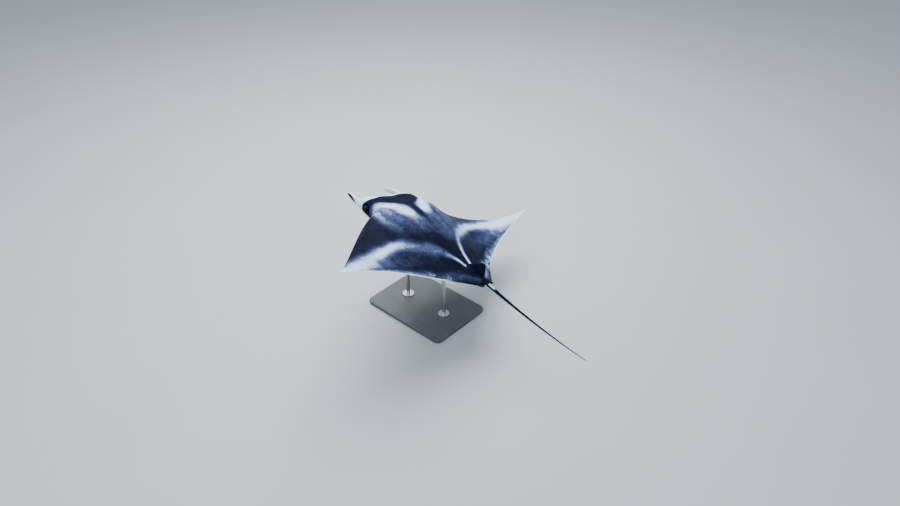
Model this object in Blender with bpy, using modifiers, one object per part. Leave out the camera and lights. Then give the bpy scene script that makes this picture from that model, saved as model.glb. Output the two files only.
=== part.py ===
"""A reef manta ray, life size, gliding in a gentle banked climb on a plain display stand.

Metres, +Z up. The ray is shaped in its own frame, with +X to its right, +Y ahead and +Z out of
its back, as fractions of the disc's flat span. The disc is modelled whole and flat, parted by
thin cuts, and then bent into the wing beat. An empty carries the finished ray at its pitch and
bank above the stand, whose underside is the origin. The ray's head points along -Y.
"""
import bmesh
import bpy
import math
import numpy as np
from mathutils import Matrix, Vector

# --- driving dimensions -------------------------------------------------------------------
SPAN = 3.2                      # disc width with the wings laid flat
GAP = 0.0004                    # clear space left between touching pieces
PITCH = math.radians(17.5)      # nose up
BANK = math.radians(22.0)       # right wing down
BODY_HEIGHT = 0.88              # from the floor to the middle of the body
BODY_SHIFT = (0.01, 0.0)        # of the middle of the body, to put its weight over the base

# --- disc outline, right half, in spans ---------------------------------------------------
NAPE_EDGE = ((0.0, 0.166), (0.050, 0.166), (0.088, 0.153), (0.114, 0.130))
FRONT_EDGE = ((0.114, 0.130), (0.200, 0.118), (0.345, -0.004), (0.500, -0.072))
REAR_EDGE = ((0.045, -0.250), (0.203, -0.129), (0.400, -0.078), (0.500, -0.072))
TAIL_ROOT = (0.0, -0.256)
NAPE_SHARE = 0.27               # share of the rings of one half that lie between the shoulders

# --- body: distance ahead, half width, height of back, depth of belly, squareness ----------
BODY = (
    (0.166, 0.155, 0.047, 0.036, 4.6),
    (0.110, 0.160, 0.060, 0.044, 4.0),
    (0.040, 0.156, 0.063, 0.048, 3.0),
    (-0.050, 0.118, 0.053, 0.042, 2.4),
    (-0.130, 0.076, 0.035, 0.030, 2.0),
    (-0.200, 0.046, 0.017, 0.018, 2.0),
    (-0.256, 0.026, 0.010, 0.008, 2.0),
)
NAPE_ROUND, SHOULDER_ROUND = 0.22, 0.07  # share of a chord over which its front end is rounded
TAIL_ROUND = 0.030
WING_ROOT_THICK = 0.050         # half thickness that the wing would reach at the midline
WING_TIP_THICK = 0.0011
WING_TAPER = 2.5
EDGE_THICK = 0.0005             # half thickness close to the trailing edge
BACK_SHARE, BELLY_SHARE = 1.1, 0.8
BODY_ARCH = 0.36                # upward bow of the body, per span

# --- head: how far along, distance ahead, half width, height of crown, depth of throat --------
HEAD = (
    (0.00, 0.2100, 0.000, 0.0000, 0.0000),
    (0.07, 0.2090, 0.070, 0.0062, 0.0066),
    (0.16, 0.2055, 0.104, 0.0135, 0.0130),
    (0.28, 0.1965, 0.1165, 0.0225, 0.0195),
    (0.45, 0.1780, 0.1200, 0.0345, 0.0275),
    (0.68, 0.1500, 0.1200, 0.0475, 0.0360),
    (0.93, 0.1050, 0.1165, 0.0575, 0.0400),
    (1.00, 0.0920, 0.000, 0.0000, 0.0000),
)
HEAD_SQUARE = 4.0               # squareness of the head's sections
LIP_HOLLOW = 0.0175             # how far the middle of the lips lies behind a straight front

# --- wing beat: bend in radians at the tip, as terms that grow with reach, reach^2, reach^3 -
HINGE = 0.100                   # where the bend starts, in spans from the midline
RIGHT_BEND = (0.05, 0.52, 0.54)
LEFT_BEND = (-0.06, 0.26, 0.33)
RIGHT_TWIST, LEFT_TWIST = -0.33, -0.57
TWIST_AXIS = (0.02, -0.14)      # distance ahead of the twist axis, at the root and per reach

# --- cuts, in spans ------------------------------------------------------------------------
NECK = 0.118
TRUNK_SIDE, TRUNK_SIDE_REAR, TRUNK_END = 0.122, 0.046, -0.30
WRIST = 0.285                   # where the outer length of each wing begins
JAW_REAR = 0.150
REACH = 0.6                     # cutters reach this far

# --- mouth and eyes ------------------------------------------------------------------------
MOUTH_HALF = (0.105, 0.042, 0.0050)     # half sizes of the gape: across, ahead, up
MOUTH_AHEAD, MOUTH_DROP = 0.201, -0.004
EYE_RADIUS = 0.0068
EYE_AT = (0.1193, 0.1670, 0.0040)

# --- cephalic fins: rolled lobes that point ahead of the head's front corners ----------------
HORN_PATH = ((0.106, 0.158, -0.003), (0.121, 0.200, -0.003), (0.110, 0.237, -0.013), (0.090, 0.266, -0.029))
HORN_WIDE, HORN_TALL = 0.0098, 0.0155   # half sizes at the root
HORN_TIP, HORN_TAPER = 0.44, 1.2        # share of them that is left near the tip, and how it falls

# --- dorsal fin: station up the fin, front, rear, half thickness ------------------------------
DORSAL = ((0.0, -0.138, -0.242, 0.0064), (0.4, -0.170, -0.237, 0.0050), (0.8, -0.199, -0.228, 0.0030),
          (1.0, -0.212, -0.222, 0.0016))
DORSAL_FOOT, DORSAL_TOP = 0.004, 0.055  # heights of its sunk foot and its tip

# --- pelvic fins: station back along the fin, middle, half width, half thickness ----------------
PELVIC_START, PELVIC_END = -0.215, -0.268
PELVIC = ((0.0, 0.020, 0.010, 0.0036), (0.35, 0.024, 0.015, 0.0032), (0.75, 0.026, 0.014, 0.0022),
          (1.0, 0.026, 0.009, 0.0012))
PELVIC_DROP = -0.001

# --- tail -----------------------------------------------------------------------------------
TAIL_LENGTH = 0.395
TAIL_START, TAIL_LIFT = -0.240, 0.006
TAIL_ANGLE, TAIL_CURL = -0.03, 0.155     # radians above level at the root, and gained by the tip
TAIL_RADIUS = ((0.0, 0.0100), (0.06, 0.0066), (0.25, 0.0044), (0.6, 0.0028), (1.0, 0.0011))
TAIL_CUTS = (0.24, 0.60)

# --- stand, in metres ------------------------------------------------------------------------
BASE = (0.74, 1.04, 0.040)
BASE_CORNER, BASE_EDGE = 0.06, 0.004
ROD_RADIUS, FLANGE_RADIUS, FLANGE_THICK = 0.021, 0.060, 0.012
ROD_AHEAD = 0.26                # each rod stands this far before or behind the middle


def bezier(points, t):
    """Cubic curve through its first and last point, as an array of (x, y)."""
    p = np.asarray(points, float)
    t = np.asarray(t, float)[..., None]
    return (1 - t) ** 3 * p[0] + 3 * (1 - t) ** 2 * t * p[1] + 3 * (1 - t) * t * t * p[2] + t ** 3 * p[3]


def along_stations(stations, at, column):
    """Smooth interpolation between stations, by cubics that never overshoot them."""
    table = np.asarray(sorted(stations), float)
    x, y = table[:, 0], table[:, column]
    rise = np.diff(y) / np.diff(x)
    before, after = rise[:-1], rise[1:]
    same = before * after > 0
    turn = np.where(same, 2 * before * after / np.where(same, before + after, 1), 0)
    slope = np.concatenate([rise[:1], turn, rise[-1:]])
    at = np.clip(at, x[0], x[-1])
    k = np.clip(np.searchsorted(x, at, side="right") - 1, 0, len(x) - 2)
    step = x[k + 1] - x[k]
    t = (at - x[k]) / step
    return ((1 + 2 * t) * (1 - t) ** 2 * y[k] + t * (1 - t) ** 2 * step * slope[k]
            + t * t * (3 - 2 * t) * y[k + 1] + t * t * (t - 1) * step * slope[k + 1])


def disc_edges(reach):
    """Front and rear end of the chord at a reach from 0, the midline, to 1, the wing tip."""
    on_nape = reach < NAPE_SHARE
    nape_t = np.clip(reach / NAPE_SHARE, 0, 1)
    wing_t = np.clip((reach - NAPE_SHARE) / (1 - NAPE_SHARE), 0, 1)
    front = np.where(on_nape[..., None], bezier(NAPE_EDGE, nape_t), bezier(FRONT_EDGE, wing_t))
    inner = np.stack([REAR_EDGE[0][0] * nape_t,
                      TAIL_ROOT[1] + (REAR_EDGE[0][1] - TAIL_ROOT[1]) * nape_t ** 2], -1)
    rear = np.where(on_nape[..., None], inner, bezier(REAR_EDGE, wing_t))
    return front, rear


def end_rounding(c, share):
    """0 at the end of a chord, rising as a quarter circle to 1 at that share of the chord."""
    return np.sqrt(1 - (1 - np.clip(c / share, 0, 1)) ** 2)


def disc_point(across, around):
    """Flat disc: across runs 0 to 1 from right tip to left tip, around once round the section."""
    side = np.sign(0.5 - across)
    reach = np.abs(1 - 2 * across)
    front, rear = disc_edges(reach)
    c = (1 - np.cos(around)) / 2
    x, y = (front + (rear - front) * c[..., None]).T
    width, squareness = along_stations(BODY, y, 1), along_stations(BODY, y, 4)
    bell = np.exp(-0.8 * (x / width) ** squareness)
    on_back = around < math.pi
    body = np.where(on_back, along_stations(BODY, y, 2), along_stations(BODY, y, 3))
    share = NAPE_ROUND + (SHOULDER_ROUND - NAPE_ROUND) * np.clip(x / FRONT_EDGE[0][0], 0, 1)
    body = body * bell * end_rounding(c, share) * end_rounding(1 - c, TAIL_ROUND)
    wing = WING_TIP_THICK + WING_ROOT_THICK * np.clip(1 - 2 * x, 0, 1) ** WING_TAPER
    wing = wing * 2.6 * np.sqrt(c) * (1 - c) * np.where(on_back, BACK_SHARE, BELLY_SHARE)
    thick = body + wing * (1 - bell) + EDGE_THICK * np.abs(np.sin(around)) ** 0.3
    z = np.where(on_back, thick, -thick)
    return np.stack([side * x, y, z], -1) * SPAN


def head_point(along, around):
    """The head: broad flattened sections from the lips, hollowed in the middle, to the nape."""
    wide = along_stations(HEAD, along, 2)
    tall = np.where(around < math.pi, along_stations(HEAD, along, 3), along_stations(HEAD, along, 4))
    across, up = np.cos(around), np.sin(around)
    x = wide * np.sign(across) * np.abs(across) ** (2 / HEAD_SQUARE)
    z = tall * np.sign(up) * np.abs(up) ** (2 / HEAD_SQUARE)
    hollow = LIP_HOLLOW * (1 - along) ** 2 * (1 - (x / HEAD[5][2]) ** 2)
    return np.stack([x, along_stations(HEAD, along, 1) - hollow, z], -1) * SPAN


def wing_beat(points):
    """Bends and twists the flat ray, given in metres, into its pose in the ray's own frame."""
    flat = np.asarray(points, float) / SPAN
    side = np.where(flat[:, 0] < 0, -1.0, 1.0)
    out = np.abs(flat[:, 0])
    length = 0.5 - HINGE
    reach = np.clip((out - HINGE) / length, 0, None)
    bend = np.where(side[:, None] > 0, RIGHT_BEND, LEFT_BEND)
    powers = np.arange(1, 4)
    steps = (np.arange(24) + 0.5) / 24
    angles = ((reach[:, None] * steps)[..., None] ** powers * bend[:, None, :]).sum(-1)
    spread = np.minimum(out, HINGE) + length * reach * np.cos(angles).mean(1)
    lift = length * reach * np.sin(angles).mean(1)
    tilt = (reach[:, None] ** powers * bend).sum(1)
    twist = np.where(side > 0, RIGHT_TWIST, LEFT_TWIST) * reach ** 2
    axis = TWIST_AXIS[0] + TWIST_AXIS[1] * reach
    ahead = flat[:, 1] - axis
    up = flat[:, 2] + BODY_ARCH * flat[:, 1] ** 2
    y = axis + ahead * np.cos(twist) - up * np.sin(twist)
    normal = ahead * np.sin(twist) + up * np.cos(twist)
    x = side * (spread - normal * np.sin(tilt))
    z = lift + normal * np.cos(tilt)
    return np.stack([x, y, z], -1) * SPAN


# --- building blocks -------------------------------------------------------------------------
def clear_scene():
    for obj in list(bpy.data.objects):
        bpy.data.objects.remove(obj, do_unlink=True)


def collection(name):
    made = bpy.data.collections.new(name)
    bpy.context.scene.collection.children.link(made)
    return made


def object_from(name, bm, into):
    bm.normal_update()
    bmesh.ops.recalc_face_normals(bm, faces=bm.faces)
    mesh = bpy.data.meshes.new(name)
    bm.to_mesh(mesh)
    bm.free()
    obj = bpy.data.objects.new(name, mesh)
    into.objects.link(obj)
    return obj


def moved(obj, change):
    """Passes the object's points, as an array, through change."""
    count = len(obj.data.vertices)
    points = np.empty(count * 3)
    obj.data.vertices.foreach_get("co", points)
    obj.data.vertices.foreach_set("co", np.ascontiguousarray(change(points.reshape(-1, 3))).ravel())
    obj.data.update()
    return obj


def loft(name, place, rings, segments, into):
    """A sphere whose rings become the sections of a soft form: place(along, around) gives them."""
    bm = bmesh.new()
    bmesh.ops.create_uvsphere(bm, u_segments=segments, v_segments=rings, radius=1.0)
    ball = np.array([v.co for v in bm.verts])
    along = np.arccos(np.clip(ball[:, 2], -1, 1)) / math.pi
    around = np.arctan2(ball[:, 1], ball[:, 0]) % (2 * math.pi)
    for vert, point in zip(bm.verts, place(along, around)):
        vert.co = point
    bm.normal_update()
    bmesh.ops.triangulate(bm, faces=bm.faces)
    return object_from(name, bm, into)


def cutter(name, bm, into):
    made = object_from(name, bm, into)
    made.hide_render = True
    made.display_type = "WIRE"
    return made


def prism(name, corners, into):
    """A tall upright cutter over four corners, given in spans as (x, y), in the order of a box."""
    bm = bmesh.new()
    bmesh.ops.create_cube(bm, size=2.0)
    for vert in bm.verts:
        x, y = corners[(vert.co.x > 0) + 2 * (vert.co.y > 0)]
        vert.co = Vector((x, y, vert.co.z * REACH)) * SPAN
    return cutter(name, bm, into)


def block(name, low, high, place, into):
    """A cuboid cutter between two corners, given in spans in the frame that place describes."""
    bm = bmesh.new()
    bmesh.ops.create_cube(bm, size=1.0)
    middle, size = (Vector(high) + Vector(low)) / 2, Vector(high) - Vector(low)
    for vert in bm.verts:
        vert.co = place @ ((middle + vert.co * size) * SPAN)
    return cutter(name, bm, into)


def combine(obj, other, operation):
    """Applies one Boolean to obj and drops any crumb that it leaves."""
    modifier = obj.modifiers.new(operation.lower(), "BOOLEAN")
    modifier.object = other
    modifier.operation = operation
    modifier.solver = "EXACT"
    bpy.context.view_layer.update()
    graph = bpy.context.evaluated_depsgraph_get()
    mesh = bpy.data.meshes.new_from_object(obj.evaluated_get(graph))
    obj.modifiers.clear()
    obj.data = mesh
    bm = bmesh.new()
    bm.from_mesh(mesh)
    bodies, seen = [], set()
    for start in bm.verts:
        if start in seen:
            continue
        body, edge_of = [start], [start]
        seen.add(start)
        while edge_of:
            for edge in edge_of.pop().link_edges:
                for vert in edge.verts:
                    if vert not in seen:
                        seen.add(vert)
                        body.append(vert)
                        edge_of.append(vert)
        bodies.append(body)
    bodies.sort(key=len)
    for body in bodies[:-1]:
        bmesh.ops.delete(bm, geom=body, context="VERTS")
    bm.to_mesh(mesh)
    bm.free()
    return obj


def duplicate(obj, name, into):
    copy = bpy.data.objects.new(name, obj.data.copy())
    copy.parent = obj.parent
    into.objects.link(copy)
    return copy


def grown(obj, into, by=GAP):
    """A cutter: the object's shape with its surface moved out by the gap."""
    bm = bmesh.new()
    bm.from_mesh(obj.data)
    bmesh.ops.triangulate(bm, faces=bm.faces)
    bm.normal_update()
    for vert, normal in [(v, v.normal.copy()) for v in bm.verts]:
        vert.co += normal * by
    made = cutter("grown_" + obj.name, bm, into)
    made.parent = obj.parent
    return made


def material(name, colour, roughness, metallic=0.0):
    made = bpy.data.materials.new(name)
    made.use_nodes = True
    shader = made.node_tree.nodes["Principled BSDF"]
    shader.inputs["Base Color"].default_value = (*colour, 1.0)
    shader.inputs["Roughness"].default_value = roughness
    shader.inputs["Metallic"].default_value = metallic
    return made


def painted(obj, finish, smooth=True):
    obj.data.materials.clear()
    obj.data.materials.append(finish)
    if smooth:
        obj.data.shade_smooth()
        obj.data.set_sharp_from_angle(angle=math.radians(40))
    return obj


# --- disc: head, jaw, trunk and wings ----------------------------------------------------------
def straddle(name, front_half, rear_half, ahead, behind, into):
    """A prism across the midline, with its own half width at each end."""
    return prism(name, ((-rear_half, behind), (rear_half, behind), (-front_half, ahead),
                        (front_half, ahead)), into)


def ball(name, centre, half, rings, segments, into):
    def place(along, around):
        ring = np.sin(along * math.pi)
        unit = np.stack([np.cos(along * math.pi), ring * np.cos(around), ring * np.sin(around)], -1)
        return (np.asarray(centre) + unit * half) * SPAN
    return loft(name, place, rings, segments, into)


def wing_section(side):
    """Frame of the section at the wrist: its X points out along the bent wing."""
    line = wing_beat([(side * WRIST * SPAN, 0, 0), (side * (WRIST + 0.002) * SPAN, 0, 0)])
    lean = math.atan2(line[1][2] - line[0][2], side * (line[1][0] - line[0][0]))
    turn = Matrix.Rotation(0.0 if side > 0 else math.pi, 4, "Z") @ Matrix.Rotation(-lean, 4, "Y")
    return Matrix.Translation((line[0][0], 0, line[0][2])) @ turn


def build_disc(parts, cutters):
    """The disc in its wing beat, parted into head, jaw, trunk and two lengths of each wing."""
    g = GAP / 2 / SPAN
    disc = loft("disc", disc_point, 54, 30, cutters)
    crown = loft("crown", head_point, 20, 30, cutters)
    crown.hide_render = True
    disc = moved(combine(disc, crown, "UNION"), wing_beat)
    disc.hide_render = True
    trunk_zone = straddle("trunk_zone", TRUNK_SIDE - g, TRUNK_SIDE_REAR - g, NECK - g, TRUNK_END, cutters)
    past_trunk = straddle("past_trunk", TRUNK_SIDE + g, TRUNK_SIDE_REAR + g, NECK + g, TRUNK_END, cutters)
    head_zone = straddle("head_zone", TRUNK_SIDE - g, TRUNK_SIDE - g, REACH, NECK + g, cutters)
    past_head = straddle("past_head", TRUNK_SIDE + g, TRUNK_SIDE + g, REACH, NECK - g, cutters)
    made = {"trunk": combine(duplicate(disc, "trunk", parts), trunk_zone, "INTERSECT")}

    head = combine(duplicate(disc, "head", parts), head_zone, "INTERSECT")
    gape = ball("gape", (0, MOUTH_AHEAD, MOUTH_DROP), MOUTH_HALF, 16, 16, cutters)
    gape.hide_render = True
    combine(head, moved(gape, wing_beat), "DIFFERENCE")
    for word, side in (("right", 1), ("left", -1)):
        at = wing_beat([np.array(EYE_AT) * (side, 1, 1) * SPAN])[0] / SPAN
        eye = ball("eye_" + word, at, (EYE_RADIUS,) * 3, 8, 14, parts)
        combine(head, grown(eye, cutters), "DIFFERENCE")
        made[eye.name] = eye
    at = wing_beat([(0, JAW_REAR * SPAN, MOUTH_DROP * SPAN)])[0]
    bow = math.atan(BODY_ARCH * (JAW_REAR + MOUTH_AHEAD))
    jaw_frame = Matrix.Translation(at) @ Matrix.Rotation(bow, 4, "X")
    below = block("jaw_zone", (-REACH, g, -REACH), (REACH, REACH, -g), jaw_frame, cutters)
    past_jaw = block("past_jaw", (-REACH, -g, -REACH), (REACH, REACH, g), jaw_frame, cutters)
    made["lower_jaw"] = combine(duplicate(head, "lower_jaw", parts), below, "INTERSECT")
    made["head"] = combine(head, past_jaw, "DIFFERENCE")

    for word, side in (("right", 1), ("left", -1)):
        frame = wing_section(side)
        outer = block("outer_zone_" + word, (g, -REACH, -REACH), (REACH, REACH, REACH), frame, cutters)
        past = block("past_outer_" + word, (-g, -REACH, -REACH), (REACH, REACH, REACH), frame, cutters)
        tip = combine(duplicate(disc, "wing_tip_" + word, parts), outer, "INTERSECT")
        edges = sorted((side * 0.01, side * REACH))
        half = prism("half_" + word, ((edges[0], -REACH), (edges[1], -REACH), (edges[0], REACH),
                                      (edges[1], REACH)), cutters)
        fin = combine(duplicate(disc, "pectoral_fin_" + word, parts), half, "INTERSECT")
        for other in (past, past_head, past_trunk):
            combine(fin, other, "DIFFERENCE")
        made[fin.name], made[tip.name] = fin, tip
    return made


# --- fins and tail ------------------------------------------------------------------------------
def cephalic_fin(name, side, into):
    """A rolled lobe: flattened sections along a curve, ending in a blunt, hooked tip."""
    path = np.asarray(HORN_PATH)

    def centre(t):
        p, t = path, t[:, None]
        return (1 - t) ** 3 * p[0] + 3 * (1 - t) ** 2 * t * p[1] + 3 * (1 - t) * t * t * p[2] + t ** 3 * p[3]

    def place(along, around):
        ahead = centre(np.clip(along + 0.01, 0, 1.01)) - centre(along - 0.01)
        ahead /= np.linalg.norm(ahead, axis=1)[:, None]
        out = np.cross(ahead, (0, 0, 1.0))
        out /= np.linalg.norm(out, axis=1)[:, None]
        up = np.cross(out, ahead)
        taper = HORN_TIP + (1 - HORN_TIP) * (1 - np.clip(along, 0, 1)) ** HORN_TAPER
        size = taper * np.sqrt(np.clip(1 - (2 * along - 1) ** 12, 0, 1))
        roll = centre(along) + out * (HORN_WIDE * size * np.cos(around))[:, None]
        return (roll + up * (HORN_TALL * size * np.sin(around))[:, None]) * (side, 1, 1) * SPAN
    return moved(loft(name, place, 14, 12, into), wing_beat)


def dorsal_fin(into):
    """A small raked fin: thin pointed sections stacked up from a foot sunk in the back."""
    def place(along, around):
        front, rear = along_stations(DORSAL, along, 1), along_stations(DORSAL, along, 2)
        size = np.sqrt(np.clip(1 - (2 * along - 1) ** 14, 0, 1))
        y = (front + rear) / 2 + (front - rear) / 2 * np.cos(around) * size
        x = along_stations(DORSAL, along, 3) * np.sin(around) * size * (1 + 0.35 * np.cos(around))
        z = DORSAL_FOOT + (DORSAL_TOP - DORSAL_FOOT) * along
        return np.stack([x, y, z], -1) * SPAN
    return moved(loft("dorsal_fin", place, 10, 16, into), wing_beat)


def pelvic_fin(name, side, into):
    def place(along, around):
        size = np.sqrt(np.clip(1 - (2 * along - 1) ** 8, 0, 1))
        x = along_stations(PELVIC, along, 1) + along_stations(PELVIC, along, 2) * size * np.cos(around)
        z = PELVIC_DROP + along_stations(PELVIC, along, 3) * size * np.sin(around)
        y = PELVIC_START + (PELVIC_END - PELVIC_START) * along
        return np.stack([side * x, y, z], -1) * SPAN
    return moved(loft(name, place, 8, 12, into), wing_beat)


def tail_line(s):
    """Centre of the tail and its direction, at a share s of its length, in spans."""
    s = np.asarray(s, float)
    root = wing_beat([(0, TAIL_START * SPAN, TAIL_LIFT * SPAN)])[0] / SPAN
    steps = (np.arange(32) + 0.5) / 32
    angle = TAIL_ANGLE + TAIL_CURL * s[..., None] * steps
    y = root[1] - TAIL_LENGTH * s * np.cos(angle).mean(-1)
    z = root[2] + TAIL_LENGTH * s * np.sin(angle).mean(-1)
    return np.stack([0 * s, y, z], -1), TAIL_ANGLE + TAIL_CURL * s


def tail_piece(name, start, end, rings, into):
    """A flat-ended length of the tail: the ball's poles close the two end discs."""
    def place(along, around):
        s = start + (end - start) * np.clip((along * rings - 1) / (rings - 2), 0, 1)
        middle, angle = tail_line(s)
        inside = (along * rings > 0.5) & (along * rings < rings - 0.5)
        radius = along_stations(TAIL_RADIUS, s, 1) * inside
        lift = radius * np.sin(around)
        return (middle + np.stack([radius * np.cos(around), lift * np.sin(angle), lift * np.cos(angle)], -1)) * SPAN
    return loft(name, place, rings, 10, into)


# --- stand ---------------------------------------------------------------------------------------
def stand_base(into):
    """A flat plate with rounded corners: its underside is the origin's plane."""
    bm = bmesh.new()
    bmesh.ops.create_cube(bm, size=1.0)
    for vert in bm.verts:
        vert.co = Vector(vert.co) * Vector(BASE)
    upright = [e for e in bm.edges if abs(e.verts[0].co.z - e.verts[1].co.z) > 0.001]
    bmesh.ops.bevel(bm, geom=upright, offset=BASE_CORNER, segments=5, profile=0.5, affect="EDGES")
    base = object_from("stand_base", bm, into)
    base.location = (0, 0, BASE[2] / 2)
    edge = base.modifiers.new("edge", "BEVEL")
    edge.width = BASE_EDGE
    edge.segments = 2
    edge.limit_method = "ANGLE"
    edge.angle_limit = math.radians(40)
    return base


def stand_rod(name, y, top, into):
    """An upright rod on a flange: a turned profile, cut to length by the body it holds."""
    bm = bmesh.new()
    profile = ((0, top), (ROD_RADIUS, top), (ROD_RADIUS, FLANGE_THICK), (FLANGE_RADIUS, FLANGE_THICK),
               (FLANGE_RADIUS, 0), (0, 0))
    verts = [bm.verts.new((r, 0, z)) for r, z in profile]
    for a, b in zip(verts, verts[1:]):
        bm.edges.new((a, b))
    mesh = bpy.data.meshes.new(name)
    bm.to_mesh(mesh)
    bm.free()
    rod = bpy.data.objects.new(name, mesh)
    into.objects.link(rod)
    rod.location = (0, y, BASE[2] + GAP)
    screw = rod.modifiers.new("turn", "SCREW")
    screw.steps = screw.render_steps = 24
    screw.use_merge_vertices = True
    screw.merge_threshold = 0.0001
    screw.use_smooth_shade = False
    return rod


def main():
    clear_scene()
    parts, cutters = collection("manta_ray"), collection("cutters")
    pieces = build_disc(parts, cutters)
    head, trunk = pieces["head"], pieces["trunk"]
    for word, side in (("right", 1), ("left", -1)):
        horn = cephalic_fin("cephalic_fin_" + word, side, parts)
        for other in (head, pieces["lower_jaw"], pieces["eye_" + word]):
            combine(horn, grown(other, cutters), "DIFFERENCE")
        pelvic = pelvic_fin("pelvic_fin_" + word, side, parts)
        pieces[horn.name], pieces[pelvic.name] = horn, pelvic
    dorsal = dorsal_fin(parts)
    g = GAP / 2 / SPAN / TAIL_LENGTH
    marks = (0.0, *TAIL_CUTS, 1.0)
    for name, start, end in zip(("tail_base", "tail_middle", "tail_tip"), marks, marks[1:]):
        pieces[name] = tail_piece(name, start + g, end - g, 11, parts)
    combine(pieces["tail_base"], grown(trunk, cutters), "DIFFERENCE")
    for word in ("right", "left"):
        pelvic = pieces["pelvic_fin_" + word]
        combine(pelvic, grown(trunk, cutters), "DIFFERENCE")
        combine(pelvic, grown(pieces["pectoral_fin_" + word], cutters), "DIFFERENCE")
        combine(pelvic, grown(pieces["tail_base"], cutters), "DIFFERENCE")
    combine(dorsal, grown(trunk, cutters), "DIFFERENCE")
    combine(dorsal, grown(pieces["tail_base"], cutters), "DIFFERENCE")
    pieces["dorsal_fin"] = dorsal

    pose = bpy.data.objects.new("ray_pose", None)
    parts.objects.link(pose)
    pose.rotation_mode = "YXZ"
    pose.rotation_euler = (PITCH, BANK, math.pi)
    pose.location = (BODY_SHIFT[0], BODY_SHIFT[1], BODY_HEIGHT)
    for piece in pieces.values():
        piece.parent = pose
    belly = grown(trunk, cutters)

    skin = material("ray_skin", (0.05, 0.06, 0.08), 0.45)
    for piece in pieces.values():
        painted(piece, skin)
    for word in ("right", "left"):
        painted(pieces["eye_" + word], material("eye_" + word, (0.01, 0.01, 0.012), 0.1))
    painted(stand_base(parts), material("stand_board", (0.30, 0.31, 0.32), 0.5))
    steel = material("stand_steel", (0.55, 0.56, 0.57), 0.3, 1.0)
    for name, y in (("stand_rod_front", -ROD_AHEAD), ("stand_rod_rear", ROD_AHEAD)):
        rod = stand_rod(name, y, BODY_HEIGHT, parts)
        painted(combine(rod, belly, "DIFFERENCE"), steel)


main()
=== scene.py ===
"""A reef manta ray, life size, in a gentle banked climb on a plain display stand.

Metres, +Z up. The ray is laid out flat in its own frame, with +X to its right, +Y ahead and +Z
out of its back, as fractions of the flat disc's span. Everything that follows the animal's hide
is worked out there. The finished hide is then bent into the wing beat and set on its stand.
"""
import bmesh
import bpy
import math
import numpy as np
from contextlib import contextmanager
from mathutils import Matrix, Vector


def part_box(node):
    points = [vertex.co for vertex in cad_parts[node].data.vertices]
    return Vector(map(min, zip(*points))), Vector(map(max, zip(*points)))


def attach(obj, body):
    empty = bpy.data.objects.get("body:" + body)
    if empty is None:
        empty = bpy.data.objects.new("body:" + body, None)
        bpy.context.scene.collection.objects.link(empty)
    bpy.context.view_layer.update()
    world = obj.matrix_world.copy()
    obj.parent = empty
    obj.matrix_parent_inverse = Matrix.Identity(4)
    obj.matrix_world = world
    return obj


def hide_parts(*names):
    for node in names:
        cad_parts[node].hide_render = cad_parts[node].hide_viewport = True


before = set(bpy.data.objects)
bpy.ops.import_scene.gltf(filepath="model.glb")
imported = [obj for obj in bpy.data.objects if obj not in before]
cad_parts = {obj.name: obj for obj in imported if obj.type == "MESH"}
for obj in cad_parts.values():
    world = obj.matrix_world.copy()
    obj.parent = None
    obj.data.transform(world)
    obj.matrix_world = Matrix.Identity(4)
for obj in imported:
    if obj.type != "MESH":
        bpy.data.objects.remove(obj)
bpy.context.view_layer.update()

# === Disc ====================================
# The flat body of the ray is one sheet of muscle over rays of cartilage, thick amidships and
# drawn out to blade-like wings. It is one closed surface, from the right wing tip to the left.
SPAN = 3.2                      # disc width with the wings laid flat
NAPE_EDGE = ((0.0, 0.166), (0.050, 0.166), (0.088, 0.153), (0.114, 0.130))
FRONT_EDGE = ((0.114, 0.130), (0.200, 0.118), (0.345, -0.004), (0.500, -0.072))
REAR_EDGE = ((0.045, -0.250), (0.203, -0.129), (0.400, -0.078), (0.500, -0.072))
TAIL_ROOT = (0.0, -0.256)
NAPE_SHARE = 0.27               # share of the rows of one half that lie between the shoulders
# distance ahead, half width, height of back, depth of belly, squareness
BODY = (
    (0.166, 0.155, 0.047, 0.036, 4.6),
    (0.110, 0.160, 0.060, 0.044, 4.0),
    (0.040, 0.156, 0.063, 0.048, 3.0),
    (-0.050, 0.118, 0.053, 0.042, 2.4),
    (-0.130, 0.076, 0.035, 0.030, 2.0),
    (-0.200, 0.046, 0.017, 0.018, 2.0),
    (-0.256, 0.026, 0.010, 0.008, 2.0),
)
NAPE_ROUND, SHOULDER_ROUND, TAIL_ROUND = 0.22, 0.07, 0.030
WING_ROOT_THICK, WING_TIP_THICK, WING_TAPER = 0.050, 0.0011, 2.5
EDGE_THICK = 0.0005             # half thickness close to the trailing edge
BACK_SHARE, BELLY_SHARE = 1.1, 0.8
BLADE_PEAK = 2.6                # brings the greatest thickness of the blade's section to 1
WING_ROWS, NAPE_ROWS, DISC_TURNS = 66, 38, 130


def bezier(points, t):
    """Cubic curve from the first point to the last, pulled towards the two between them."""
    p = np.asarray(points, float)
    t = np.asarray(t, float)[..., None]
    return (1 - t) ** 3 * p[0] + 3 * (1 - t) ** 2 * t * p[1] + 3 * (1 - t) * t * t * p[2] + t ** 3 * p[3]


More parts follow.
